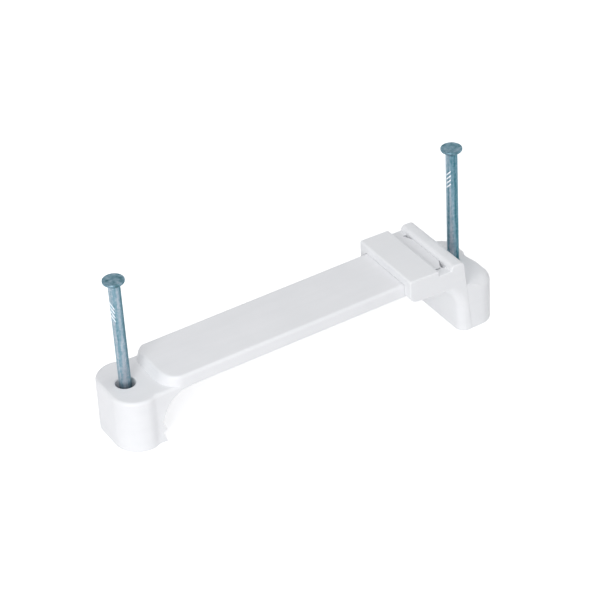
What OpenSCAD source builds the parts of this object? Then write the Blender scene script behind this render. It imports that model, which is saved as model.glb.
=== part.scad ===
// Two-piece nail-in bridge clip that holds a flat row of cables against a wall.
// X runs along the strap, Y across it, and the wall is the plane Z = 0.
// The origin lies on the wall, midway between the two nails.

/* [Overall] */
// Distance between the two nails
nail_spacing = 66.5; // [56:0.5:90]
// Distance from a nail to the flat outer end of its foot
end_reach = 4; // [3.4:0.1:4.6]
// Depth of a foot along the strap, from its outer end to its inner face
foot_depth = 8; // [6.8:0.1:9.2]

/* [Strap] */
// Thickness of the strap
strap_t = 2.65; // [2.2:0.05:3]
// Height of the underside of the strap above the wall, at its foot
strap_clear = 9.35; // [8:0.05:10.8]
// Gap between the strap and the side rail on each side of it
side_gap = 0.3; // [0.1:0.05:0.8]
// Radius of the rounded end of the strap in plan
strap_end_r = 4; // [3:0.25:5]
// Distance from the left nail to the foot of the rounded end
strap_end_reach = 4.05; // [3:0.05:4.6]
// Length of the slope from the strap down to the boss
strap_slope = 0.5; // [0.2:0.1:3]
// Height of the step from the boss of the left nail up to the strap
boss_step = 1.8; // [1.2:0.1:2.1]
// Width by which the boss of the left nail reaches past the strap, on each side
boss_shoulder = 0.65; // [0.3:0.05:1.5]
// Radius of the outer corners of that boss in plan
boss_r = 4.5; // [2:0.25:5]
// Length of that boss along the strap
boss_len = 6.2; // [6.1:0.1:7.2]
// Length of the ridge that catches behind the front plate
catch_len = 1.8; // [1:0.1:2.1]
// Height of the ridge above the strap
catch_h = 0.45; // [0.2:0.05:0.8]
// Length of the corner chamfers of the strap end, across the strap
tip_chamfer = 2; // [0.5:0.1:3]

/* [Housing] */
// Width of the housing and of its foot
housing_w = 16.5; // [13.5:0.25:20]
// Length of the housing, from its front to its outer end
housing_len = 18.4; // [15.5:0.1:21.5]
// Height of the front plate and of the rear bar
housing_h = 14.8; // [12.4:0.05:17.2]
// Length by which the side rails reach down past the underside of the strap
rail_lap = 0.6; // [0.3:0.05:1.2]
// Height of the boss around the right nail
end_boss_h = 9.6; // [8:0.1:11]
// Thickness of the front plate at its front
plate_t = 1.45; // [1.2:0.05:1.7]
// Length of the window between the plate and the rear bar
window_len = 2.6; // [2.2:0.05:3]
// Thickness of the rear bar at its foot, along the strap
bar_t = 3.2; // [2.7:0.05:3.7]
// Distance from the right nail to the foot of the back of the rear bar
bar_reach = 2.55; // [2.15:0.05:2.95]
// Draft of the back of the rear bar over its height
bar_draft = 0.5; // [0:0.1:0.8]
// Radius of the hollow corner between the rear bar and the boss behind it
hollow_r = 0.8; // [0.3:0.1:1.2]
// Thickness of the side rails
rail_t = 1.7; // [1.4:0.05:2]
// Drop from the front plate to the top of the side rails
rail_drop = 1; // [0.5:0.1:1.2]
// Radius of the outer corners of the housing in plan
end_boss_r = 3.5; // [2:0.25:4.5]
// Radius of the lower front corners of the side rails
nose_r = 1.5; // [0.5:0.1:2]
// Depth of the scoop in the outer end, in line with the nail
scoop_depth = 1.1; // [0.5:0.1:1.3]
// Width of the scoop
scoop_w = 5; // [3:0.5:6]
// Height of the scoop, down from the top of the boss
scoop_h = 3; // [1:0.5:6]

/* [Feet] */
// Number of gripping teeth on the inside of the left foot
teeth = 2; // [1:1:2]
// Distance from one tooth to the next
tooth_pitch = 2.4; // [2:0.1:2.6]
// Height of the slanted face of a tooth
tooth_lead = 2; // [1.7:0.1:2.3]
// Depth of the teeth
tooth_depth = 0.65; // [0.3:0.05:0.9]
// Radius of the arch between a foot and the strap
arch_r = 6.9; // [5.8:0.1:8]
// Length of the arch along the strap
arch_len = 3.75; // [3.2:0.05:4.4]
// Width of the round edges between the inner face of the right foot and its sides
foot_r = 1.8; // [0.5:0.1:2.4]
// Radius of the top edge of each boss at its outer end
edge_r = 0.5; // [0.2:0.1:1.2]

/* [Nails] */
// Diameter of the nail shank
nail_d = 2; // [1.8:0.1:2.3]
// Diameter of the nail head
head_d = 3.85; // [3.2:0.05:4.5]
// Thickness of the nail head at its rim
head_t = 0.45; // [0.3:0.05:1]
// Height of the cone under the nail head
neck_t = 0.6; // [0.3:0.1:1]
// Length of a nail from the top of its head to its tip
nail_len = 30; // [25:1:35]
// Length of the nail point
point_len = 3; // [2:0.5:4]
// Height of the top of the left nail above the wall
left_top = 31.3; // [26:0.1:36]
// Height of the top of the right nail above the wall
right_top = 33.1; // [28:0.1:36]
// Lean of the left nail, in degrees, outwards
left_lean = 0.6; // [0:0.1:0.7]
// Gap all round between a nail and the bore that guides it
bore_gap = 0.1; // [0.1:0.05:0.3]
// Gap all round between the head of the left nail and the recess at the mouth of its bore
mouth_gap = 0.125; // [0.1:0.025:0.3]
// Depth of that recess
mouth_depth = 4; // [1:0.5:6]

/* [Hidden] */
$fn = 48;

// How far cutting shapes run past the faces they cut, and joined shapes run into each other
over = 1;
// Gap between the strap and the housing, above, below and at the end of the strap
fit_gap = 0.1;
// Radius of the edges along the top of the rear bar
bar_r = 0.5;
// Number of straight steps in a drawn arc
arc_steps = 10;
// A hull keeps its round corners with this many facets
hull_fn = 32;
// Share of the slope that lies below the top of the boss
slope_sunk_share = 0.2;
// Share of the tooth depth by which the arch starts in front of the tooth roots
arch_lead_share = 0.4;
// Radius of the round edge of the right foot as a share of its width; above one, a faint crease borders it
crease_share = 1.03;
// Size of the fine chamfers on the rim of the nail head
rim = head_t / 4;

// Widths and diameters that follow from a gap
strap_w = housing_w - 2 * (rail_t + side_gap);
boss_w = strap_w + 2 * boss_shoulder;
bore_d = nail_d + 2 * bore_gap;
mouth_d = head_d + 2 * mouth_gap;

// Places along the strap, on the right half, which the left foot mirrors
nail_x = nail_spacing / 2;
outer_x = nail_x + end_reach;
foot_x = outer_x - foot_depth;
root_x = foot_x + tooth_depth;
arch_x = root_x - tooth_depth * arch_lead_share;
arch_end_x = foot_x - arch_len;
front_x = outer_x - housing_len;
bar_back_x = nail_x - bar_reach;
bar_x = bar_back_x - bar_t;
plate_end_x = bar_x - window_len;
tip_x = bar_x - fit_gap;
boss_in_x = outer_x - boss_len;
boss_start_x = foot_x + foot_r;
slope_x = strap_end_reach - nail_x;
full_x = slope_x + strap_slope + strap_end_r;

// Heights
teeth_top = (teeth - 1) * tooth_pitch + tooth_lead;
front_under = housing_h - plate_t - fit_gap - strap_t;
rail_base = strap_under(arch_end_x) - rail_lap;
boss_h = strap_clear + strap_t - boss_step;
bar_low = min(rail_base, end_boss_h) - bar_r;
bar_lean = atan(bar_draft / (housing_h - bar_r - end_boss_h));
arch_z = rail_base - sqrt(arch_len * (2 * arch_r - arch_len));

// Height of the underside of the strap at x
function strap_under(x) =
    strap_clear + (front_under - strap_clear) * (x + arch_end_x) / (front_x + arch_end_x);

// Height at x of the shelf under the strap end, and of the underside of the front plate
function shelf(x) = strap_under(x) - fit_gap;
function roof(x) = strap_under(x) + strap_t + fit_gap;

// Place at height z of the back of the rear bar
function bar_back(z) = bar_back_x - tan(bar_lean) * (z - end_boss_h);

// Points of an arc of radius r about c, from one angle to another
function arc(c, r, from, to) = [
    for (i = [0:arc_steps])
        let (turn = from + (to - from) * i / arc_steps)
        c + r * [cos(turn), sin(turn)]
];

// Points of an arc of radius r from a to b, with its centre on the left of the way from a to b
function arch(a, b, r) =
    let (half = norm(b - a) / 2)
    let (side = [a[1] - b[1], b[0] - a[0]] / (2 * half))
    let (c = (a + b) / 2 + side * sqrt(r * r - half * half))
    arc(c, r, atan2(a[1] - c[1], a[0] - c[0]), atan2(b[1] - c[1], b[0] - c[0]));

// Inner edge of the left foot, mirrored, from the wall up: the teeth, then the arch up to the strap
tooth_edge = concat(
    [for (i = [0:teeth - 1]) each [[foot_x, i * tooth_pitch], [root_x, i * tooth_pitch + tooth_lead]]],
    arch([arch_x, teeth_top], [arch_end_x, strap_clear], arch_r)
);

// Side view of the strap with the inner part of its foot
strap_side = concat(
    [[-boss_in_x - over, 0]],
    [for (p = tooth_edge) [-p[0], p[1]]],
    [
        [tip_x, strap_under(tip_x)],
        [tip_x, strap_under(tip_x) + strap_t],
        [full_x, strap_under(full_x) + strap_t],
        [full_x, boss_h],
        [-boss_in_x - over, boss_h]
    ]
);

// Side view of the right foot inside its boss: the inner face, the arch and the foot of the bar
web_side = concat(
    [[foot_x, 0]],
    arc([foot_x - arch_r, arch_z], arch_r, 0, acos((arch_r - arch_len) / arch_r)),
    [
        [arch_end_x, shelf(bar_x)],
        [bar_back_x - bar_r, shelf(bar_x)],
        [bar_back_x - bar_r, end_boss_h],
        [boss_start_x + over, end_boss_h],
        [boss_start_x + over, 0]
    ]
);

// Side view of the hollow corner behind the bar, running on inside the bar
hollow_x = bar_back_x + hollow_r * (1 / cos(bar_lean) - tan(bar_lean));
hollow_arc = arc([hollow_x, end_boss_h + hollow_r], hollow_r, 180 + bar_lean, 270);
hollow_side = concat([[bar_back_x - over, end_boss_h], [bar_back_x - over, hollow_arc[0][1]]], hollow_arc);

// Side view of the rails, the front plate and the rear bar, whose lower end lies inside the foot
rail_side = concat(
    [
        [bar_back(bar_low), bar_low],
        [bar_back_x - over, bar_low],
        [bar_back_x - over, rail_base]
    ],
    arc([front_x + nose_r, rail_base + nose_r], nose_r, 270, 180),
    [
        [front_x, housing_h],
        [plate_end_x, housing_h],
        [plate_end_x, housing_h - rail_drop],
        [bar_x, housing_h - rail_drop]
    ],
    arc([bar_x + bar_r, housing_h - bar_r], bar_r, 180, 90),
    arc([bar_back_x - bar_draft - bar_r, housing_h - bar_r], bar_r, 90, 0)
);

// Side view of the space in which the strap lies, open at the front, below and at the window
slot_side = [
    [front_x - over, rail_base - over],
    [arch_end_x, rail_base - over],
    [arch_end_x, shelf(arch_end_x)],
    [bar_x, shelf(bar_x)],
    [bar_x, housing_h + over],
    [plate_end_x, housing_h + over],
    [plate_end_x, roof(plate_end_x)],
    [front_x - over, roof(front_x - over)]
];

// Extrudes a side view across the strap, centred on it
module across(width) {
    rotate([90, 0, 0])
        linear_extrude(height = width, center = true)
            children();
}

// Outline in plan of a block from x0 to x1 with two round corners at x1
module round_end(x0, x1, width, r) {
    translate([x0, -width / 2])
        square([x1 - r - x0, width]);
    translate([x0, r - width / 2])
        square([x1 - x0, width - 2 * r]);
    for (side = [-1, 1])
        translate([x1 - r, side * (width / 2 - r)])
            circle(r = r);
}

// Block around a nail, from x0 to the outer end, with its outer top edge rounded
module nail_boss(x0, width, height, r) {
    intersection() {
        linear_extrude(height = height)
            round_end(x0, outer_x, width, r);
        across(width + 2 * over)
            polygon(concat(
                [[x0 - over, height], [x0 - over, 0], [outer_x, 0]],
                arc([outer_x - edge_r, height - edge_r], edge_r, 0, 90)
            ));
    }
}

// Guide bore of the right nail, through a boss of this height
module nail_bore(height) {
    translate([nail_x, 0, -over])
        cylinder(d = bore_d, h = height + 2 * over);
}

// Round and sloping end of the strap above the boss
module strap_end() {
    top_z = strap_under(full_x) + strap_t;
    low_z = boss_h - (top_z - boss_h) * slope_sunk_share;
    hull() {
        for (step = [0, 1]) {
            x = slope_x + strap_slope * step;
            for (side = [-1, 1])
                translate([x + strap_end_r, side * (strap_w / 2 - strap_end_r), low_z])
                    cylinder(r = strap_end_r, h = step == 0 ? rim : top_z - low_z, $fn = hull_fn);
        }
    }
}

// Strap with the left foot, its boss and the ridge at its end
module strap() {
    color("whitesmoke") difference() {
        union() {
            mirror([1, 0, 0])
                nail_boss(boss_in_x, boss_w, boss_h, boss_r);
            across(strap_w)
                polygon(strap_side);
            strap_end();
            strap_catch();
        }
        mirror([1, 0, 0])
            nail_bore(boss_h);
        translate([-nail_x, 0, boss_h - mouth_depth])
            cylinder(d = mouth_d, h = mouth_depth + over);
        strap_tip_cuts();
    }
}

// Ridge across the end of the strap, upright at the bar and rounded over at its front
module strap_catch() {
    ridge_z = strap_under(tip_x) + strap_t + catch_h;
    across(strap_w)
        polygon(concat(
            [[tip_x, strap_under(tip_x)], [tip_x, ridge_z]],
            arc([tip_x - catch_len + catch_h, ridge_z - catch_h], catch_h, 90, 180),
            [[tip_x - catch_len, strap_under(tip_x)]]
        ));
}

// Chamfers on the two corners at the end of the strap
module strap_tip_cuts() {
    for (side = [-1, 1])
        linear_extrude(height = housing_h + over)
            polygon([
                [tip_x + over, side * (strap_w / 2 - tip_chamfer)],
                [tip_x, side * (strap_w / 2 - tip_chamfer)],
                [tip_x - catch_len / 2, side * strap_w / 2],
                [tip_x - catch_len / 2, side * (strap_w / 2 + over)],
                [tip_x + over, side * (strap_w / 2 + over)]
            ]);
}

// Housing with the right foot, its boss, the front plate, the two rails and the rear bar
module housing() {
    color("white") difference() {
        union() {
            nail_boss(boss_start_x, housing_w, end_boss_h, end_boss_r);
            arched_foot();
            across(housing_w)
                polygon(rail_side);
            across(housing_w)
                polygon(hollow_side);
        }
        across(housing_w - 2 * rail_t)
            polygon(slot_side);
        nail_bore(end_boss_h);
        scoop();
    }
}

// Right foot whose inner face runs up into the arch, with one round edge along the face and the arch
module arched_foot() {
    difference() {
        across(housing_w)
            polygon(web_side);
        for (side = [0, 1])
            mirror([0, side, 0]) {
                translate([foot_x, 0, -over])
                    linear_extrude(height = arch_z + over)
                        mirror([0, 1, 0])
                            edge_section();
                translate([foot_x - arch_r, 0, arch_z])
                    rotate([90, 0, 0])
                        rotate_extrude(angle = 90)
                            translate([arch_r, 0])
                                edge_section();
            }
    }
}

// Section of what the round edge takes away, with the inner face at x = 0 and the housing centre at y = 0
module edge_section() {
    translate([0, housing_w / 2 - foot_r])
        difference() {
            translate([-over, 0])
                square([foot_r + over, foot_r + over]);
            translate([foot_r, 0])
                circle(r = foot_r * crease_share);
        }
}

// Shallow round scoop in the outer end of the housing
module scoop() {
    r = (scoop_w * scoop_w / 4 + scoop_depth * scoop_depth) / (2 * scoop_depth);
    translate([outer_x - scoop_depth + r, 0, end_boss_h - scoop_h])
        cylinder(r = r, h = scoop_h + over);
}

// Nail standing on the Z axis with the top of its head at the origin
module nail() {
    color("slategray") rotate_extrude()
        polygon([
            [0, 0],
            [head_d / 2 - rim, 0],
            [head_d / 2, -rim],
            [head_d / 2, rim - head_t],
            [head_d / 2 - rim, -head_t],
            [nail_d / 2, -head_t - neck_t],
            [nail_d / 2, point_len - nail_len],
            [0, -nail_len]
        ]);
}

// Nail in the left boss, leaning a little in its bore
module left_nail() {
    translate([-nail_x, 0, boss_h / 2])
        rotate([0, -left_lean, 0])
            translate([0, 0, left_top - boss_h / 2])
                nail();
}

// Nail in the right boss
module right_nail() {
    translate([nail_x, 0, right_top])
        nail();
}

strap();
housing();
left_nail();
right_nail();
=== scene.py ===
"""Looks of a two-piece nail-in bridge clip for cables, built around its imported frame.

The strap, the housing and the two nails are modelled in millimetres and
brought to metres when each piece is finished.
"""

import logging
import math
from dataclasses import dataclass, field
from enum import Enum
from typing import Callable, NamedTuple, Sequence

import bmesh
import bpy
from bmesh.types import BMEdge, BMesh, BMVert
from mathutils import Matrix, Vector


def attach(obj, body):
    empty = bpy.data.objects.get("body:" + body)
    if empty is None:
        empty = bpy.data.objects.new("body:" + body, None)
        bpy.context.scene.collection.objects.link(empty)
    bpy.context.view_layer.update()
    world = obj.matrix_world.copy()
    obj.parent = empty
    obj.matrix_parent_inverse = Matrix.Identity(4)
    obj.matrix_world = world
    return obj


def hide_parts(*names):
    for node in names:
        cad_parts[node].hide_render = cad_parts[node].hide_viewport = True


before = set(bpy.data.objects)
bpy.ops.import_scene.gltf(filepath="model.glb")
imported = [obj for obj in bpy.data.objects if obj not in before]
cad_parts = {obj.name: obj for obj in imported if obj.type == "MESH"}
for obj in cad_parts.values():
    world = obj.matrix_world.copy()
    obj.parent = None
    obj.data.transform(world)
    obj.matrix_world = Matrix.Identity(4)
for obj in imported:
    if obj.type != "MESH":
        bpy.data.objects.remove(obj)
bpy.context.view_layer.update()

LOG = logging.getLogger("bridge_clip")

MM = 0.001
TINY = 1e-4
SLIVER = 2e-3
BODY = "root"

Pick = Callable[[Vector, Vector], bool]


class Slot(Enum):
    """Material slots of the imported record."""

    STRAP = "strap_plastic"
    HOUSING = "housing_plastic"
    NAIL = "nail_steel"


class End(Enum):
    """The two ends of the clip, as the sign of their place along the strap."""

    LEFT = -1
    RIGHT = 1


class Join(Enum):
    """Ways of combining two solid shapes."""

    ADD = "UNION"
    CUT = "DIFFERENCE"


class Plane(Enum):
    """Planes in which outlines are drawn."""

    PLAN = "seen from above, extruded upwards"
    SIDE = "seen from the side, extruded across the strap"

    def place(self, u: float, v: float, depth: float) -> Vector:
        """Puts an outline's point in space.

        Args:
            u: Place along the strap.
            v: Place across the strap in plan, or height in side view.
            depth: Place along the direction of extrusion.

        Returns:
            The point in space.
        """
        return Vector((u, v, depth)) if self is Plane.PLAN else Vector((u, depth, v))

    def along(self, length: float) -> Vector:
        """Returns the vector of that length in the direction of extrusion."""
        return self.place(0.0, 0.0, length)


class Corner(NamedTuple):
    """A corner of an outline. Rounding it takes cut off each of its sides."""

    u: float
    v: float
    cut: float = 0.0


class Workpiece:
    """A closed shape in millimetres that is rounded, cut and joined to others."""

    large_cut = 1.2
    fine_steps = 4
    arc_steps = 12

    def __init__(self, mesh: BMesh) -> None:
        """Takes over a mesh.

        Args:
            mesh: The closed mesh, in millimetres.
        """
        self.mesh = mesh

    @classmethod
    def prism(
        cls, outline: Sequence[Corner], plane: Plane, start: float, end: float
    ) -> "Workpiece":
        """Extrudes an outline whose corners are rounded first.

        Args:
            outline: Corners in order around the outline.
            plane: The plane of the outline.
            start: Where the extrusion begins.
            end: Where the extrusion ends.

        Returns:
            The extruded shape.
        """
        mesh = bmesh.new()
        verts = [mesh.verts.new(plane.place(c.u, c.v, start)) for c in outline]
        mesh.faces.new(verts)
        for cut in sorted({c.cut for c in outline if c.cut > 0}):
            bmesh.ops.bevel(
                mesh,
                geom=[v for v, c in zip(verts, outline) if c.cut == cut],
                offset=cut,
                offset_type="OFFSET",
                segments=cls.arc_steps if cut > cls.large_cut else cls.fine_steps,
                profile=0.5,
                affect="VERTICES",
                material=-1,
                clamp_overlap=False,
            )
        grown = bmesh.ops.extrude_face_region(mesh, geom=mesh.faces[:])
        moved = [g for g in grown["geom"] if isinstance(g, BMVert)]
        bmesh.ops.translate(mesh, verts=moved, vec=plane.along(end - start))
        bmesh.ops.recalc_face_normals(mesh, faces=mesh.faces[:])
        return cls(mesh)

    @classmethod
    def turned(cls, profile: Sequence[Corner], centre: float, steps: int) -> "Workpiece":
        """Spins a profile about an upright axis.

        Args:
            profile: Corners as radius and height, from axis to axis.
            centre: Place of the axis along the strap.
            steps: Number of facets around.

        Returns:
            The turned shape.
        """
        mesh = bmesh.new()
        verts = [mesh.verts.new((c.u, 0.0, c.v)) for c in profile]
        mesh.faces.new(verts)
        for cut in sorted({c.cut for c in profile if c.cut > 0}):
            bmesh.ops.bevel(
                mesh,
                geom=[v for v, c in zip(verts, profile) if c.cut == cut],
                offset=cut,
                offset_type="OFFSET",
                segments=cls.fine_steps,
                profile=0.5,
                affect="VERTICES",
                material=-1,
                clamp_overlap=False,
            )
        bmesh.ops.delete(mesh, geom=mesh.faces[:], context="FACES_ONLY")
        inner = [
            e for e in mesh.edges if all(abs(v.co.x) < TINY for v in e.verts)
        ]
        bmesh.ops.delete(mesh, geom=inner, context="EDGES")
        bmesh.ops.spin(
            mesh,
            geom=mesh.verts[:] + mesh.edges[:],
            cent=(0.0, 0.0, 0.0),
            axis=(0.0, 0.0, 1.0),
            angle=math.tau,
            steps=steps,
            use_merge=True,
        )
        bmesh.ops.remove_doubles(mesh, verts=mesh.verts[:], dist=TINY)
        bmesh.ops.recalc_face_normals(mesh, faces=mesh.faces[:])
        bmesh.ops.translate(mesh, verts=mesh.verts[:], vec=(centre, 0.0, 0.0))
        return cls(mesh)

    def round_edges(self, radius: float, pick: Pick, steps: int = 4) -> "Workpiece":
        """Rounds the edges whose two ends are picked.

        Args:
            radius: Radius of the rounding.
            pick: Tells from an edge's two ends whether it is rounded.
            steps: Number of facets across the rounding.

        Returns:
            This workpiece.
        """
        edges = [
            e
            for e in self.mesh.edges
            if e.is_manifold
            and e.calc_face_angle() > math.radians(12)
            and pick(e.verts[0].co, e.verts[1].co)
        ]
        bmesh.ops.bevel(
            self.mesh,
            geom=edges,
            offset=radius,
            offset_type="OFFSET",
            segments=steps,
            profile=0.5,
            affect="EDGES",
            material=-1,
            clamp_overlap=False,
        )
        return self

    def shift(self, change: Callable[[Vector], Vector]) -> "Workpiece":
        """Moves each vertex to where a rule puts it.

        Args:
            change: Gives a vertex's new place from its old one.

        Returns:
            This workpiece.
        """
        for vert in self.mesh.verts:
            vert.co = change(vert.co.copy())
        return self

    def transform(self, matrix: Matrix) -> "Workpiece":
        """Applies a matrix, and turns the faces outwards again if it mirrors."""
        bmesh.ops.transform(self.mesh, matrix=matrix, verts=self.mesh.verts[:])
        if matrix.determinant() < 0:
            bmesh.ops.reverse_faces(self.mesh, faces=self.mesh.faces[:])
        return self

    def _stand_in(self, name: str) -> bpy.types.Object:
        """Makes a scratch object of the mesh."""
        data = bpy.data.meshes.new(name)
        self.mesh.to_mesh(data)
        self.mesh.free()
        made = bpy.data.objects.new(name, data)
        bpy.context.scene.collection.objects.link(made)
        return made

    def combine(self, other: "Workpiece", how: Join) -> "Workpiece":
        """Joins another shape to this one or cuts it out.

        Args:
            other: The other shape, which is used up.
            how: Whether to add or to cut.

        Returns:
            This workpiece.
        """
        body = self._stand_in("body")
        tool = other._stand_in("tool")
        boolean = body.modifiers.new("combine", "BOOLEAN")
        boolean.object = tool
        boolean.operation = how.value
        boolean.solver = "EXACT"
        bpy.context.view_layer.update()
        graph = bpy.context.evaluated_depsgraph_get()
        shaped = bpy.data.meshes.new_from_object(body.evaluated_get(graph))
        self.mesh = bmesh.new()
        self.mesh.from_mesh(shaped)
        bmesh.ops.remove_doubles(self.mesh, verts=self.mesh.verts[:], dist=TINY)
        for scratch in (body, tool):
            data = scratch.data
            bpy.data.objects.remove(scratch)
            bpy.data.meshes.remove(data)
        bpy.data.meshes.remove(shaped)
        return self

    def finish(self, name: str) -> bpy.types.Object:
        """Brings the shape to metres and makes it a shown object.

        Args:
            name: Name of the piece.

        Returns:
            The object, smooth but for its sharp edges.
        """
        bmesh.ops.remove_doubles(self.mesh, verts=self.mesh.verts[:], dist=SLIVER)
        bmesh.ops.dissolve_degenerate(self.mesh, edges=self.mesh.edges[:], dist=SLIVER)
        bmesh.ops.scale(self.mesh, verts=self.mesh.verts[:], vec=(MM, MM, MM))
        data = bpy.data.meshes.new(name)
        self.mesh.to_mesh(data)
        self.mesh.free()
        data.shade_smooth()
        data.set_sharp_from_angle(angle=math.radians(32))
        made = bpy.data.objects.new(name, data)
        bpy.context.scene.collection.objects.link(made)
        weighted = made.modifiers.new("flat_faces_lead", "WEIGHTED_NORMAL")
        weighted.keep_sharp = True
        weighted.weight = 90
        return made


class NodeBoard:
    """A material's node tree with short ways of adding and wiring nodes."""

    def __init__(self, name: str) -> None:
        """Starts a material.

        Args:
            name: Name of the material.
        """
        self.material = bpy.data.materials.new(name)
        self.material.use_nodes = True
        self.tree = self.material.node_tree
        self.tree.nodes.clear()
        self.output = self.tree.nodes.new("ShaderNodeOutputMaterial")

    def add(self, kind: str, **settings: object) -> bpy.types.Node:
        """Adds a node.

        Args:
            kind: The node's type, without its prefix.
            **settings: Values of its sockets, with underscores for spaces, and
                of its properties.

        Returns:
            The node.
        """
        node = self.tree.nodes.new("ShaderNode" + kind)
        for key, value in settings.items():
            socket = key.replace("_", " ")
            if socket in node.inputs:
                node.inputs[socket].default_value = value
            else:
                setattr(node, key, value)
        return node

    def wire(self, source: bpy.types.NodeSocket, target: bpy.types.NodeSocket) -> None:
        """Joins an output to an input."""
        self.tree.links.new(source, target)

    def ramp(
        self, source: bpy.types.NodeSocket, stops: Sequence[tuple[float, tuple]]
    ) -> bpy.types.NodeSocket:
        """Turns a value into a colour.

        Args:
            source: The value.
            stops: Places from 0 to 1 with their colours.

        Returns:
            The colour socket.
        """
        node = self.tree.nodes.new("ShaderNodeValToRGB")
        elements = node.color_ramp.elements
        while len(elements) < len(stops):
            elements.new(0.5)
        for element, (place, colour) in zip(elements, stops):
            element.position = place
            element.color = (*colour, 1.0)
        self.wire(source, node.inputs["Fac"])
        return node.outputs["Color"]

    def range(
        self, source: bpy.types.NodeSocket, low: float, high: float
    ) -> bpy.types.NodeSocket:
        """Maps a value from 0 to 1 onto a range and returns the new socket."""
        node = self.add("MapRange", To_Min=low, To_Max=high)
        self.wire(source, node.inputs["Value"])
        return node.outputs["Result"]


@dataclass(frozen=True)
class MouldedPlastic:
    """Matt white plastic with a spark-eroded grain, faint clouds and flow lines."""

    name: str
    tint: tuple[float, float, float]
    shade: tuple[float, float, float]
    roughness: float = 0.46
    grain_size: float = 0.24
    grain_depth: float = 0.024
    cloud_size: float = 9.0
    flow_size: float = 1.3
    flow_stretch: float = 9.0

    def build(self) -> bpy.types.Material:
        """Makes the material.

        Returns:
            The node material, on Object coordinates.
        """
        board = NodeBoard(self.name)
        place = board.add("TexCoord")
        clouds = board.add("TexNoise", Scale=1 / (self.cloud_size * MM), Detail=3.0)
        flow = board.add("TexNoise", Scale=1 / (self.flow_size * MM), Detail=2.0)
        grain = board.add("TexNoise", Scale=1 / (self.grain_size * MM), Detail=2.0)
        stretch = board.add("Mapping", Scale=(1 / self.flow_stretch, 1.0, 1.0))
        board.wire(place.outputs["Object"], clouds.inputs["Vector"])
        board.wire(place.outputs["Object"], grain.inputs["Vector"])
        board.wire(place.outputs["Object"], stretch.inputs["Vector"])
        board.wire(stretch.outputs["Vector"], flow.inputs["Vector"])

        mottled = board.add("Mix", data_type="FLOAT", Factor=0.35)
        board.wire(clouds.outputs["Fac"], mottled.inputs["A"])
        board.wire(flow.outputs["Fac"], mottled.inputs["B"])
        colour = board.ramp(
            mottled.outputs["Result"], ((0.36, self.shade), (0.62, self.tint))
        )
        gloss = board.range(
            flow.outputs["Fac"], self.roughness - 0.07, self.roughness + 0.07
        )
        bump = board.add("Bump", Strength=0.5, Distance=self.grain_depth * MM)
        board.wire(grain.outputs["Fac"], bump.inputs["Height"])
        shader = board.add("BsdfPrincipled", IOR=1.49)
        board.wire(colour, shader.inputs["Base Color"])
        board.wire(gloss, shader.inputs["Roughness"])
        board.wire(bump.outputs["Normal"], shader.inputs["Normal"])
        board.wire(shader.outputs["BSDF"], board.output.inputs["Surface"])
        return board.material


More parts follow.
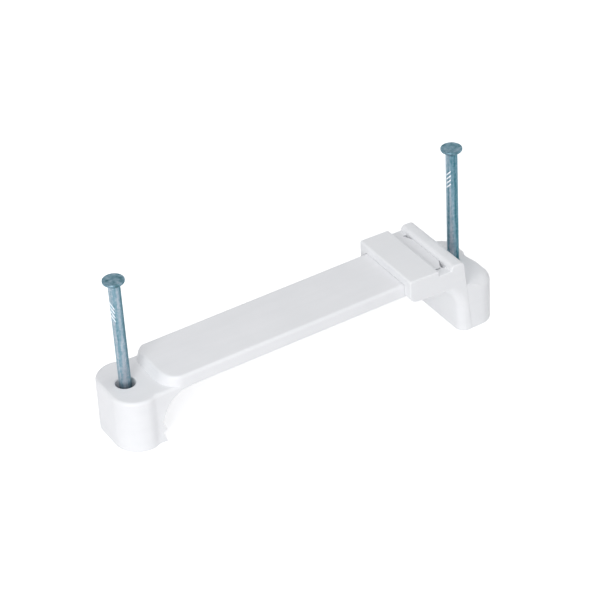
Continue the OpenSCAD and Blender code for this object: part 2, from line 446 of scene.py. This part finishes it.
@dataclass(frozen=True)
class ZincSteel:
    """Drawn steel wire with a thin bluish zinc coat in dull and bright streaks, and
    painted light that lightens the side of the shank facing the front lamp.
    """

    name: str
    bright: tuple[float, float, float] = (0.42, 0.47, 0.53)
    middle: tuple[float, float, float] = (0.20, 0.32, 0.39)
    dull: tuple[float, float, float] = (0.04, 0.15, 0.19)
    edge: tuple[float, float, float] = (0.55, 0.74, 0.78)
    roughness: float = 0.36
    patch_size: float = 0.5
    streak_size: float = 0.8
    streak_stretch: float = 30.0
    line_size: float = 0.14
    line_stretch: float = 14.0
    line_depth: float = 0.02
    axis_x: float = 0.0
    # bearing and strength of the painted light across the shank, lighter towards the lamp
    # side
    lit_side_bearing: float = -29.0
    lit_side_share: float = 0.0

    def _painted_light_side(
        self, board: NodeBoard, place: bpy.types.NodeSocket
    ) -> bpy.types.NodeSocket:
        """Gives the painted light across the wire, lighter on the side facing the front
        lamp and darker on the other.

        Args:
            board: The material's node board.
            place: The Object coordinates.

        Returns:
            A value around 0, higher on the lit side, where painted light brightens the
            coat.
        """
        turn = math.radians(self.lit_side_bearing)
        across = board.add("VectorMath", operation="DOT_PRODUCT")
        gain = -self.lit_side_share / MM
        across.inputs[1].default_value = (
            math.cos(turn) * gain, math.sin(turn) * gain, 0.0
        )
        level = board.add("Math", operation="ADD")
        level.inputs[1].default_value = -self.axis_x * MM * math.cos(turn) * gain
        board.wire(place, across.inputs[0])
        board.wire(across.outputs["Value"], level.inputs[0])
        return level.outputs["Value"]

    def build(self) -> bpy.types.Material:
        """Makes the material.

        Returns:
            The node material, on Object coordinates.
        """
        board = NodeBoard(self.name)
        place = board.add("TexCoord")
        patches = board.add("TexNoise", Scale=1 / (self.patch_size * MM), Detail=4.0)
        streaks = board.add("TexNoise", Scale=1 / (self.streak_size * MM), Detail=1.0)
        lines = board.add("TexNoise", Scale=1 / (self.line_size * MM), Detail=2.0)
        drawn = board.add("Mapping", Scale=(1.0, 1.0, 1 / self.streak_stretch))
        stretch = board.add("Mapping", Scale=(1.0, 1.0, 1 / self.line_stretch))
        board.wire(place.outputs["Object"], patches.inputs["Vector"])
        board.wire(place.outputs["Object"], drawn.inputs["Vector"])
        board.wire(place.outputs["Object"], stretch.inputs["Vector"])
        board.wire(drawn.outputs["Vector"], streaks.inputs["Vector"])
        board.wire(stretch.outputs["Vector"], lines.inputs["Vector"])

        wiped = board.add("Mix", data_type="FLOAT", Factor=0.3)
        board.wire(streaks.outputs["Fac"], wiped.inputs["A"])
        board.wire(lines.outputs["Fac"], wiped.inputs["B"])
        mottled = board.add("Mix", data_type="FLOAT", Factor=0.25)
        board.wire(wiped.outputs["Result"], mottled.inputs["A"])
        board.wire(patches.outputs["Fac"], mottled.inputs["B"])
        # painted light: the streaks are lifted on the shank's lamp side and lowered on its
        # far side
        painted_light_mix = board.add("Math", operation="ADD")
        board.wire(mottled.outputs["Result"], painted_light_mix.inputs[0])
        board.wire(self._painted_light_side(board, place.outputs["Object"]), painted_light_mix.inputs[1])
        colour = board.ramp(
            painted_light_mix.outputs["Value"],
            ((0.36, self.dull), (0.50, self.middle), (0.62, self.bright)),
        )
        gloss = board.range(
            patches.outputs["Fac"], self.roughness - 0.1, self.roughness + 0.14
        )
        bump = board.add("Bump", Strength=0.4, Distance=self.line_depth * MM)
        board.wire(lines.outputs["Fac"], bump.inputs["Height"])
        shader = board.add(
            "BsdfPrincipled", Metallic=0.85, Specular_Tint=(*self.edge, 1.0)
        )
        board.wire(colour, shader.inputs["Base Color"])
        board.wire(gloss, shader.inputs["Roughness"])
        board.wire(bump.outputs["Normal"], shader.inputs["Normal"])
        board.wire(shader.outputs["BSDF"], board.output.inputs["Surface"])
        return board.material


def mount(
    piece: bpy.types.Object, node: str, material: bpy.types.Material
) -> None:
    """Dresses a piece and puts it in the place of its CAD node.

    Args:
        piece: The finished object.
        node: Name of the CAD node that it stands for.
        material: Its material.
    """
    piece.data.materials.append(material)
    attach(piece, BODY)
    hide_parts(node)
    LOG.info("%s: %d faces", piece.name, len(piece.data.polygons))


@dataclass
class Layout:
    """Sizes that the strap, the housing and the nails share, in millimetres."""

    nail_x: float = 33.25
    outer_x: float = 37.25
    foot_x: float = 29.25
    arch_end_x: float = 25.5
    front_x: float = 18.85
    bar_x: float = 27.5
    strap_width: float = 12.5
    strap_thickness: float = 2.65
    under_foot: float = 9.35
    rise: float = 1.25
    fit_gap: float = 0.04
    bore_r: float = 1.1
    mouth_r: float = 1.75
    mouth_depth: float = 4.0

    def underside(self, x: float) -> float:
        """Returns the height of the strap's underside at x."""
        share = (x + self.arch_end_x) / (self.front_x + self.arch_end_x)
        return self.under_foot + self.rise * share

    def bore(self, top: float) -> Workpiece:
        """Makes the shape of a guide bore, a little flared at its top.

        Args:
            top: Height of the boss that it is cut into.

        Returns:
            The cutting shape, at the right nail.
        """
        wide = self.bore_r + 0.5
        return Workpiece.turned(
            [
                Corner(0.0, -1.0),
                Corner(self.bore_r, -1.0),
                Corner(self.bore_r, top - 0.02, 0.2),
                Corner(wide, top + 0.03),
                Corner(wide, top + 1.0),
                Corner(0.0, top + 1.0),
            ],
            self.nail_x,
            64,
        )

    def deep_bore(self, top: float) -> Workpiece:
        """Makes the shape of a guide bore with a wide recess at its mouth.

        Args:
            top: Height of the boss that it is cut into.

        Returns:
            The cutting shape, at the right nail.
        """
        floor = top - self.mouth_depth
        wide = self.mouth_r + 0.25
        return Workpiece.turned(
            [
                Corner(0.0, -1.0),
                Corner(self.bore_r, -1.0),
                Corner(self.bore_r, floor),
                Corner(self.mouth_r, floor + 0.02),
                Corner(self.mouth_r, top - 0.02, 0.18),
                Corner(wide, top + 0.03),
                Corner(wide, top + 1.0),
                Corner(0.0, top + 1.0),
            ],
            self.nail_x,
            64,
        )


@dataclass
class Strap:
    """The strap with its foot, the boss of the left nail and the catch ridge."""

    layout: Layout
    finish: bpy.types.Material
    end_x: float = 27.4
    end_cut_x: float = 0.9
    end_cut_y: float = 2.0
    slope_low_x: float = -29.4
    slope_run: float = 1.2
    slope_corner: float = 4.1
    far_corner: float = 3.0
    edge_r: float = 0.55
    boss_width: float = 13.8
    boss_height: float = 10.2
    boss_inner_x: float = -31.05
    shoulder_run: float = 1.6
    boss_corner: float = 4.5
    boss_edge_r: float = 0.6
    catch_length: float = 2.2
    catch_height: float = 0.5
    catch_edge_r: float = 0.25
    teeth: int = 2
    tooth_pitch: float = 2.4
    tooth_lead: float = 2.0
    tooth_root_x: float = -29.9
    tooth_cut: float = 0.2
    arch_foot_x: float = -29.66
    arch_turn_x: float = -27.55
    arch_cut: float = 3.1

    def _slab(self) -> Workpiece:
        """Makes the strap itself, with its round end standing over the boss."""
        half = self.layout.strap_width / 2
        thickness = self.layout.strap_thickness
        outline = [
            Corner(self.slope_low_x, -half, self.slope_corner),
            Corner(self.end_x, -half, 0.6),
            Corner(self.end_x, half, 0.6),
            Corner(self.slope_low_x, half, self.far_corner),
        ]
        slab = Workpiece.prism(outline, Plane.PLAN, 0.0, thickness)

        def lean(at: Vector) -> Vector:
            corner = self.slope_corner if at.y < 0 else self.far_corner
            turn_x = self.slope_low_x + corner + TINY
            if at.z > TINY and at.x < turn_x:
                at.x += self.slope_run * (turn_x - at.x) / corner
            at.z += self.layout.underside(at.x)
            return at

        slab.shift(lean)

        def on_top(a: Vector, b: Vector) -> bool:
            return all(
                v.z > self.layout.underside(v.x) + thickness / 2 for v in (a, b)
            )

        def on_bottom(a: Vector, b: Vector) -> bool:
            return all(
                v.z < self.layout.underside(v.x) + thickness / 2 for v in (a, b)
            )

        slab.round_edges(self.edge_r, on_top, 6)
        return slab.round_edges(0.3, on_bottom, 3)

    def _foot_edge(self) -> list[Corner]:
        """Gives the toothed inner edge of the foot and the arch above it."""
        edge = []
        for tooth in range(self.teeth):
            low = tooth * self.tooth_pitch
            cut = self.tooth_cut if tooth else 0.0
            edge.append(Corner(-self.layout.foot_x, low, cut))
            edge.append(Corner(self.tooth_root_x, low + self.tooth_lead, cut))
        arch_z = edge[-1].v
        edge[-1] = Corner(self.tooth_root_x, arch_z)
        edge[1] = Corner(self.tooth_root_x, self.tooth_lead, self.tooth_cut)
        edge.append(Corner(self.arch_foot_x, arch_z))
        edge.append(Corner(self.arch_turn_x, self.layout.under_foot, self.arch_cut))
        return edge

    def _web(self) -> Workpiece:
        """Makes the toothed inner part of the foot, the arch and the boss's neck."""
        run_out = -24.0
        inner = self.boss_inner_x - 1.0
        outline = [
            Corner(inner, 0.0),
            *self._foot_edge(),
            Corner(run_out, self.layout.underside(run_out) + 0.02),
            Corner(run_out, self.boss_height),
            Corner(inner, self.boss_height),
        ]
        half = self.layout.strap_width / 2
        web = Workpiece.prism(outline, Plane.SIDE, -half, half)

        def outer(a: Vector, b: Vector) -> bool:
            return (
                abs(abs(a.y) - half) < TINY
                and abs(a.y - b.y) < TINY
                and max(a.x, b.x) > inner + TINY
                and max(a.z, b.z) < self.layout.underside(run_out)
            )

        def upper(a: Vector, b: Vector) -> bool:
            return (
                abs(abs(a.y) - half) < TINY
                and abs(a.y - b.y) < TINY
                and min(a.z, b.z) > self.boss_height - TINY
            )

        return web.round_edges(0.1, outer, 2).round_edges(self.boss_edge_r, upper, 6)

    def _boss(self) -> Workpiece:
        """Makes the block around the left nail."""
        half = self.boss_width / 2
        outer = -self.layout.outer_x
        inner = self.boss_inner_x + 0.6
        outside = inner - self.shoulder_run
        low = self.layout.strap_width / 2 - 0.15
        outline = [
            Corner(inner, low),
            Corner(outside, half, 0.64),
            Corner(outer, half, self.boss_corner),
            Corner(outer, -half, self.boss_corner),
            Corner(outside, -half, 0.64),
            Corner(inner, -low),
        ]
        boss = Workpiece.prism(outline, Plane.PLAN, 0.0, self.boss_height)

        def rim(height: float) -> Pick:
            return lambda a, b: all(
                abs(v.z - height) < TINY for v in (a, b)
            ) and not all(abs(v.x - inner) < TINY for v in (a, b))

        boss.round_edges(self.boss_edge_r, rim(self.boss_height), 6)
        return boss.round_edges(0.2, rim(0.0), 3)

    def _catch(self) -> Workpiece:
        """Makes the ridge that catches behind the front plate."""
        half = self.layout.strap_width / 2 - 0.12
        start = self.end_x - self.catch_length
        end = self.end_x + 0.06
        outline = [
            Corner(start, -half),
            Corner(self.end_x - self.end_cut_x, -half, 0.25),
            Corner(end, self.end_cut_y - half, 0.25),
            Corner(end, half - self.end_cut_y, 0.25),
            Corner(self.end_x - self.end_cut_x, half, 0.25),
            Corner(start, half),
        ]
        over = self.layout.strap_thickness
        base = self.layout.underside(start) + over - 1.0
        top = self.layout.underside(self.end_x) + over + self.catch_height
        ridge = Workpiece.prism(outline, Plane.PLAN, base, top)
        return ridge.round_edges(
            self.catch_edge_r,
            lambda a, b: all(v.z > top - TINY and v.x < start + TINY for v in (a, b)),
            5,
        )

    def build(self) -> bpy.types.Object:
        """Builds and dresses the strap.

        Returns:
            The finished object.
        """
        strap = self._slab()
        strap.combine(self._web(), Join.ADD)
        strap.combine(self._boss(), Join.ADD)
        strap.combine(self._catch(), Join.ADD)
        bore = self.layout.deep_bore(self.boss_height)
        bore.transform(Matrix.Scale(-1, 4, Vector((1, 0, 0))))
        strap.combine(bore, Join.CUT)
        piece = strap.finish("clip_strap")
        mount(piece, "strap", self.finish)
        return piece


@dataclass
class Housing:
    """The housing with its foot, the front plate, the rails and the rear bar."""

    layout: Layout
    finish: bpy.types.Material
    width: float = 16.5
    top: float = 14.8
    rail_base: float = 10.19
    plate_end_x: float = 24.9
    rail_drop: float = 1.0
    rail_thickness: float = 1.93
    bar_back_top: float = 30.2
    back_lean: float = 0.1
    nose_cut: float = 1.5
    arch_r: float = 6.9
    arch_z: float = 4.05
    foot_edge_r: float = 1.8
    outer_edge_r: float = 0.25
    boss_height: float = 9.6
    boss_inset: float = 0.1
    boss_corner: float = 3.5
    boss_edge_r: float = 1.8
    bar_corner: float = 0.8
    scoop_depth: float = 1.1
    scoop_width: float = 5.0

    def _back(self, z: float) -> float:
        """Returns the place at height z of the back of the bar and the foot."""
        return self.bar_back_top + self.back_lean * (self.top - z)

    def _block(self) -> Workpiece:
        """Makes the front plate, the rails and the rear bar in one block."""
        rail_top = self.top - self.rail_drop
        front, bar = self.layout.front_x, self.layout.bar_x
        outline = [
            Corner(front, self.rail_base, self.nose_cut),
            Corner(front, self.top, 0.4),
            Corner(self.plate_end_x, self.top, 0.3),
            Corner(self.plate_end_x, rail_top, 0.15),
            Corner(bar, rail_top, 0.15),
            Corner(bar, self.top, self.bar_corner),
            Corner(self.bar_back_top, self.top, self.bar_corner),
            Corner(self._back(self.rail_base), self.rail_base),
        ]
        half = self.width / 2
        block = Workpiece.prism(outline, Plane.SIDE, -half, half)

        def outer(a: Vector, b: Vector) -> bool:
            return (
                abs(abs(a.y) - half) < TINY
                and abs(a.y - b.y) < TINY
                and not (max(a.x, b.x) > bar and max(a.z, b.z) < self.rail_base + TINY)
            )

        return block.round_edges(self.outer_edge_r, outer, 4)

    def _foot(self) -> Workpiece:
        """Makes the foot whose inner face runs up into the arch.

        One wide rounding follows the inner face and the arch on each side. Above
        the rails' underside the arch runs on inside the rails.
        """
        turn_z = self.arch_z + self.arch_r
        past = self.layout.foot_x - self.arch_r - 0.8
        inside = self._back(self.top) - 0.4
        outline = [
            Corner(self.layout.foot_x, 0.0),
            Corner(self.layout.foot_x, turn_z, self.arch_r),
            Corner(past, turn_z),
            Corner(past, turn_z + self.foot_edge_r + 0.5),
            Corner(inside, turn_z + self.foot_edge_r + 0.5),
            Corner(inside, self.rail_base + 0.8),
            Corner(self._back(self.rail_base + 0.4) - 0.02, self.rail_base + 0.4),
            Corner(self._back(0.0), 0.0),
        ]
        half = self.width / 2
        foot = Workpiece.prism(outline, Plane.SIDE, -half, half)

        def inner(a: Vector, b: Vector) -> bool:
            return (
                abs(abs(a.y) - half) < TINY
                and abs(a.y - b.y) < TINY
                and max(a.z, b.z) < turn_z + TINY
                and max(a.x, b.x) < self.layout.foot_x + TINY
            )

        foot.round_edges(self.foot_edge_r, inner, 10)

        def back(a: Vector, b: Vector) -> bool:
            return (
                abs(abs(a.y) - half) < TINY
                and abs(a.y - b.y) < TINY
                and min(a.x, b.x) > inside + TINY
                and abs(a.z - b.z) > 1.0
            )

        return foot.round_edges(self.outer_edge_r * 0.6, back, 3)

    def _hollow(self) -> Workpiece:
        """Makes the hollow corner between the rear bar and the boss."""
        low = self.boss_height - 0.5
        high = self.boss_height + 1.6
        corner_x = self._back(self.boss_height) - 0.06
        outline = [
            Corner(self.bar_back_top - 0.6, low),
            Corner(corner_x + 2.0, low),
            Corner(corner_x + 2.0, self.boss_height - 0.12),
            Corner(corner_x, self.boss_height - 0.02, 0.8),
            Corner(corner_x - 0.22, high),
            Corner(self.bar_back_top - 0.6, high),
        ]
        half = self.width / 2 - self.boss_inset - self.boss_edge_r
        return Workpiece.prism(outline, Plane.SIDE, -half, half)

    def _channel(self) -> Workpiece:
        """Makes the space in which the strap lies, with the window above it."""
        lay = self.layout
        over = lay.strap_thickness + lay.fit_gap

        def roof(x: float) -> Corner:
            return Corner(x, lay.underside(x) + over)

        def shelf(x: float) -> Corner:
            return Corner(x, lay.underside(x) - lay.fit_gap)

        outline = [
            Corner(lay.front_x - 1.0, self.rail_base - 1.0),
            Corner(lay.arch_end_x, self.rail_base - 1.0),
            shelf(lay.arch_end_x),
            shelf(lay.bar_x),
            Corner(lay.bar_x, self.top + 1.0),
            Corner(self.plate_end_x, self.top + 1.0),
            roof(self.plate_end_x),
            roof(lay.front_x - 1.0),
        ]
        half = self.width / 2 - self.rail_thickness
        return Workpiece.prism(outline, Plane.SIDE, -half, half)

    def _boss(self) -> Workpiece:
        """Makes the block around the right nail, set in a little behind the foot."""
        half = self.width / 2 - self.boss_inset
        start = self.bar_back_top + 0.2
        outline = [
            Corner(start, -half),
            Corner(self.layout.outer_x, -half, self.boss_corner),
            Corner(self.layout.outer_x, half, self.boss_corner),
            Corner(start, half),
        ]
        boss = Workpiece.prism(outline, Plane.PLAN, 0.0, self.boss_height)

        def rim(height: float) -> Pick:
            return lambda a, b: all(
                abs(v.z - height) < TINY and v.x > start + TINY for v in (a, b)
            )

        boss.round_edges(self.boss_edge_r, rim(self.boss_height), 10)
        return boss.round_edges(0.2, rim(0.0), 3)

    def _scoop(self) -> Workpiece:
        """Makes the round scoop cut into the outer top edge."""
        depth = self.scoop_depth
        radius = (self.scoop_width**2 / 4 + depth**2) / (2 * depth)
        mesh = bmesh.new()
        bmesh.ops.create_cone(
            mesh,
            cap_ends=True,
            segments=64,
            radius1=radius - 0.4,
            radius2=radius + 0.5,
            depth=4.0,
            matrix=Matrix.Translation(
                (self.layout.outer_x - depth + radius, 0.0, self.boss_height - 1.0)
            ),
        )
        return Workpiece(mesh)

    def build(self) -> bpy.types.Object:
        """Builds and dresses the housing.

        Returns:
            The finished object.
        """
        housing = self._block()
        housing.combine(self._foot(), Join.ADD)
        housing.combine(self._boss(), Join.ADD)
        housing.combine(self._hollow(), Join.ADD)
        housing.combine(self._channel(), Join.CUT)
        housing.combine(self.layout.bore(self.boss_height), Join.CUT)
        housing.combine(self._scoop(), Join.CUT)
        piece = housing.finish("clip_housing")
        mount(piece, "housing", self.finish)
        return piece


@dataclass
class Nail:
    """A wire nail with a flat head, grip marks under it and a cut point."""

    end: End
    layout: Layout
    finish: bpy.types.Material
    head_painted_shade: bpy.types.Material
    scraped_glint_finish: bpy.types.Material
    top: float
    lean: float = 0.0
    pivot_z: float = 5.1
    length: float = 30.0
    shank_r: float = 1.06
    head_r: float = 1.925
    head_t: float = 0.45
    neck_t: float = 0.6
    point_length: float = 3.0
    marks: int = 4
    mark_pitch: float = 0.85
    mark_from: float = 4.8
    mark_bearing: float = 70.0
    mark_tilt: float = 46.0

    def _blank(self) -> Workpiece:
        """Turns the head and the shank."""
        return Workpiece.turned(
            [
                Corner(0.0, 0.0),
                Corner(self.head_r, -0.02, 0.13),
                Corner(self.head_r, -self.head_t, 0.12),
                Corner(self.shank_r, -self.head_t - self.neck_t, 0.2),
                Corner(self.shank_r, -self.length),
                Corner(0.0, -self.length),
            ],
            0.0,
            48,
        )

    def _cut_point(self, nail: Workpiece) -> None:
        """Cuts the four slanting faces of the point."""
        reach = math.hypot(self.point_length, self.shank_r)
        for quarter in range(4):
            turn = math.radians(45 + 90 * quarter)
            out = Vector((math.cos(turn), math.sin(turn), 0.0))
            normal = (out * self.point_length - Vector((0, 0, self.shank_r))) / reach
            cut = bmesh.ops.bisect_plane(
                nail.mesh,
                geom=nail.mesh.verts[:] + nail.mesh.edges[:] + nail.mesh.faces[:],
                dist=TINY,
                plane_co=Vector((0.0, 0.0, 0.02 - self.length)) + out * 0.05,
                plane_no=normal,
                clear_outer=True,
            )
            rim = [g for g in cut["geom_cut"] if isinstance(g, BMEdge)]
            bmesh.ops.holes_fill(nail.mesh, edges=rim, sides=0)

    def _grip_marks(self, nail: Workpiece) -> None:
        """Cuts slanting notches into two sides of the shank."""
        for side in (-1, 1):
            for mark in range(self.marks):
                mesh = bmesh.new()
                place = (
                    Matrix.Translation(
                        (
                            0.0,
                            side * (self.shank_r + 0.07),
                            -self.mark_from - mark * self.mark_pitch,
                        )
                    )
                    @ Matrix.Rotation(
                        math.radians(90 - self.mark_tilt * self.end.value), 4, "Y"
                    )
                )
                bmesh.ops.create_cone(
                    mesh,
                    cap_ends=True,
                    segments=10,
                    radius1=0.2,
                    radius2=0.2,
                    depth=3.0,
                    matrix=place,
                )
                nail.combine(Workpiece(mesh), Join.CUT)

    def build(self) -> bpy.types.Object:
        """Builds and dresses the nail.

        Returns:
            The finished object.
        """
        nail = self._blank()
        self._cut_point(nail)
        self._grip_marks(nail)
        turn = Matrix.Rotation(math.radians(-self.mark_bearing), 4, "Z")
        drop = Matrix.Translation((0.0, 0.0, self.top - self.pivot_z))
        lean = Matrix.Rotation(math.radians(self.lean * self.end.value), 4, "Y")
        stand = Matrix.Translation(
            (self.end.value * self.layout.nail_x, 0.0, self.pivot_z)
        )
        nail.transform(stand @ lean @ drop @ turn)
        side = self.end.name.lower()
        piece = nail.finish(f"nail_{side}")
        mount(piece, f"{side}_nail", self.finish)
        self._dress(piece)
        return piece

    def _dress(self, piece: bpy.types.Object) -> None:
        """Gives the head a darker copy of the zinc as painted shade, and the grip marks
        scraped steel whose light colour is also a painted highlight.

        Args:
            piece: The finished nail.
        """
        piece.data.materials.append(self.head_painted_shade)
        piece.data.materials.append(self.scraped_glint_finish)
        marks_end = self.mark_from + self.marks * self.mark_pitch
        for face in piece.data.polygons:
            below = self.top - face.center.z / MM
            sideways = face.center.z / MM - self.pivot_z
            axis_x = self.end.value * (
                self.layout.nail_x + sideways * math.tan(math.radians(self.lean))
            )
            off = math.hypot(face.center.x / MM - axis_x, face.center.y / MM)
            # painted shade: faces of the head take the darker copy of the zinc
            if below < self.head_t + 0.1:
                face.material_index = 1
            # grip marks: scraped steel, its light colour partly a painted highlight
            elif self.mark_from - 1 < below < marks_end and off < self.shank_r - 0.05:
                face.material_index = 2


@dataclass
class Studio:
    """Camera, soft lamps, pale floor and white surroundings."""

    azimuth: float = -29.30
    elevation: float = 34.27
    roll: float = -3.24
    distance: float = 444.5
    across: float = -28.978
    upward: float = -22.327
    origin_x: float = -33.25
    lens: float = 156.03
    sensor: float = 36.0
    world_light: float = 0.42
    floor_tint: tuple[float, float, float] = (0.88, 0.88, 0.885)
    floor_lift: float = 0.53
    lamps: list[tuple[str, tuple[float, float], float, float, float]] = field(
        default_factory=lambda: [
            ("front_left", (-50.0, 22.0), 420.0, 220.0, 0.48),
            ("overhead", (20.0, 78.0), 420.0, 260.0, 0.24),
            ("right_fill", (70.0, 30.0), 420.0, 240.0, 0.04),
        ]
    )

    @staticmethod
    def _towards(azimuth: float, elevation: float) -> Vector:
        """Returns the unit vector from the clip towards a bearing in degrees."""
        a, e = math.radians(azimuth), math.radians(elevation)
        return Vector(
            (math.sin(a) * math.cos(e), -math.cos(a) * math.cos(e), math.sin(e))
        )

    def camera(self) -> None:
        """Places the camera at the photograph's angle, distance and frame."""
        back = self._towards(self.azimuth, self.elevation)
        level = Vector(
            (math.cos(math.radians(self.azimuth)), math.sin(math.radians(self.azimuth)), 0)
        )
        rise = back.cross(level)
        c, s = math.cos(math.radians(self.roll)), math.sin(math.radians(self.roll))
        right, up = level * c + rise * s, rise * c - level * s
        spot = back * self.distance - right * self.across - up * self.upward
        spot.x += self.origin_x
        data = bpy.data.cameras.new("camera")
        data.lens, data.sensor_width = self.lens, self.sensor
        data.clip_start, data.clip_end = 0.01, 10.0
        camera = bpy.data.objects.new("camera", data)
        bpy.context.scene.collection.objects.link(camera)
        turned = Matrix((right, up, back)).transposed().to_4x4()
        camera.matrix_world = Matrix.Translation(spot * MM) @ turned
        bpy.context.scene.camera = camera

    def lights(self) -> None:
        """Hangs the soft lamps around the clip."""
        for name, bearing, away, size, strength in self.lamps:
            data = bpy.data.lights.new(name, "AREA")
            data.shape = "DISK"
            data.size = size * MM
            back = self._towards(*bearing)
            area = math.pi * (size * MM / 2) ** 2
            solid = area / (away * MM) ** 2
            data.energy = strength * math.pi * area * math.pi / solid
            lamp = bpy.data.objects.new(name, data)
            bpy.context.scene.collection.objects.link(lamp)
            lamp.matrix_world = (
                Matrix.Translation(back * away * MM)
                @ back.to_track_quat("Z", "Y").to_matrix().to_4x4()
            )

    def surroundings(self) -> None:
        """Makes the world plain and, where it is seen, white."""
        world = bpy.data.worlds.new("studio")
        world.use_nodes = True
        bpy.context.scene.world = world
        tree = world.node_tree
        tree.nodes.clear()
        output = tree.nodes.new("ShaderNodeOutputWorld")
        path = tree.nodes.new("ShaderNodeLightPath")
        mirrored = tree.nodes.new("ShaderNodeMath")
        mirrored.operation = "ADD"
        shown = tree.nodes.new("ShaderNodeMath")
        shown.operation = "ADD"
        light = tree.nodes.new("ShaderNodeBackground")
        light.inputs["Color"].default_value = (0.97, 0.98, 1.0, 1.0)
        light.inputs["Strength"].default_value = self.world_light
        seen = tree.nodes.new("ShaderNodeBackground")
        seen.inputs["Color"].default_value = (1.0, 1.0, 1.0, 1.0)
        mix = tree.nodes.new("ShaderNodeMixShader")
        tree.links.new(path.outputs["Is Glossy Ray"], mirrored.inputs[0])
        tree.links.new(path.outputs["Is Transmission Ray"], mirrored.inputs[1])
        tree.links.new(path.outputs["Is Camera Ray"], shown.inputs[0])
        tree.links.new(mirrored.outputs["Value"], shown.inputs[1])
        tree.links.new(shown.outputs["Value"], mix.inputs["Fac"])
        tree.links.new(light.outputs["Background"], mix.inputs[1])
        tree.links.new(seen.outputs["Background"], mix.inputs[2])
        tree.links.new(mix.outputs["Shader"], output.inputs["Surface"])

    def floor(self) -> None:
        """Lays the pale floor, lifted to white where the camera sees it."""
        mesh = bmesh.new()
        bmesh.ops.create_grid(
            mesh,
            x_segments=2,
            y_segments=2,
            size=2.5,
            matrix=Matrix.Translation((0, 0, -0.05 * MM)),
        )
        data = bpy.data.meshes.new("floor")
        mesh.to_mesh(data)
        mesh.free()
        floor = bpy.data.objects.new("floor", data)
        bpy.context.scene.collection.objects.link(floor)
        board = NodeBoard("floor_paper")
        path = board.add("LightPath")
        mirrored = board.add("Math", operation="ADD")
        shown = board.add("Math", operation="ADD")
        board.wire(path.outputs["Is Glossy Ray"], mirrored.inputs[0])
        board.wire(path.outputs["Is Transmission Ray"], mirrored.inputs[1])
        board.wire(path.outputs["Is Camera Ray"], shown.inputs[0])
        board.wire(mirrored.outputs["Value"], shown.inputs[1])
        shader = board.add(
            "BsdfPrincipled",
            Base_Color=(*self.floor_tint, 1.0),
            Roughness=0.9,
            Emission_Color=(1.0, 1.0, 1.0, 1.0),
        )
        lift = board.range(shown.outputs["Value"], 0.0, self.floor_lift)
        board.wire(lift, shader.inputs["Emission Strength"])
        board.wire(shader.outputs["BSDF"], board.output.inputs["Surface"])
        data.materials.append(board.material)

    def build(self) -> None:
        """Sets up everything around the clip."""
        bpy.context.scene.view_settings.view_transform = "Standard"
        self.camera()
        self.lights()
        self.surroundings()
        self.floor()


def main() -> None:
    """Builds the clip and its surroundings."""
    logging.basicConfig(level=logging.INFO, format="%(name)s: %(message)s")
    layout = Layout()
    strap_plastic = MouldedPlastic(
        "strap_plastic", tint=(0.865, 0.87, 0.89), shade=(0.835, 0.842, 0.862)
    ).build()
    housing_plastic = MouldedPlastic(
        "housing_plastic", tint=(0.875, 0.882, 0.898), shade=(0.848, 0.857, 0.876)
    ).build()
    # painted shade: a darker copy of the zinc for the nail heads
    head = ZincSteel(
        "zinc_head_painted_shade",
        bright=(0.26, 0.35, 0.41),
        middle=(0.15, 0.25, 0.31),
        dull=(0.07, 0.15, 0.18),
        streak_stretch=1.0,
        roughness=0.3,
    ).build()
    # scraped steel in the grip marks, lightened also as a painted highlight
    scraped_glint = ZincSteel(
        "scraped_glint_steel",
        bright=(0.93, 0.95, 0.97),
        middle=(0.86, 0.89, 0.92),
        dull=(0.70, 0.76, 0.80),
        edge=(0.9, 0.95, 1.0),
        roughness=0.3,
    ).build()
    Studio().build()
    Strap(layout, strap_plastic).build()
    Housing(layout, housing_plastic).build()
    for end, top, lean in ((End.LEFT, 31.3, 0.6), (End.RIGHT, 33.1, 0.0)):
        shank = ZincSteel(
            f"zinc_steel_{end.name.lower()}",
            axis_x=end.value * layout.nail_x,
            # painted light on each shank, lighter on the side facing the front lamp
            lit_side_share=0.09,
        ).build()
        Nail(end, layout, shank, head, scraped_glint, top=top, lean=lean).build()


if __name__ == "__main__":
    main()
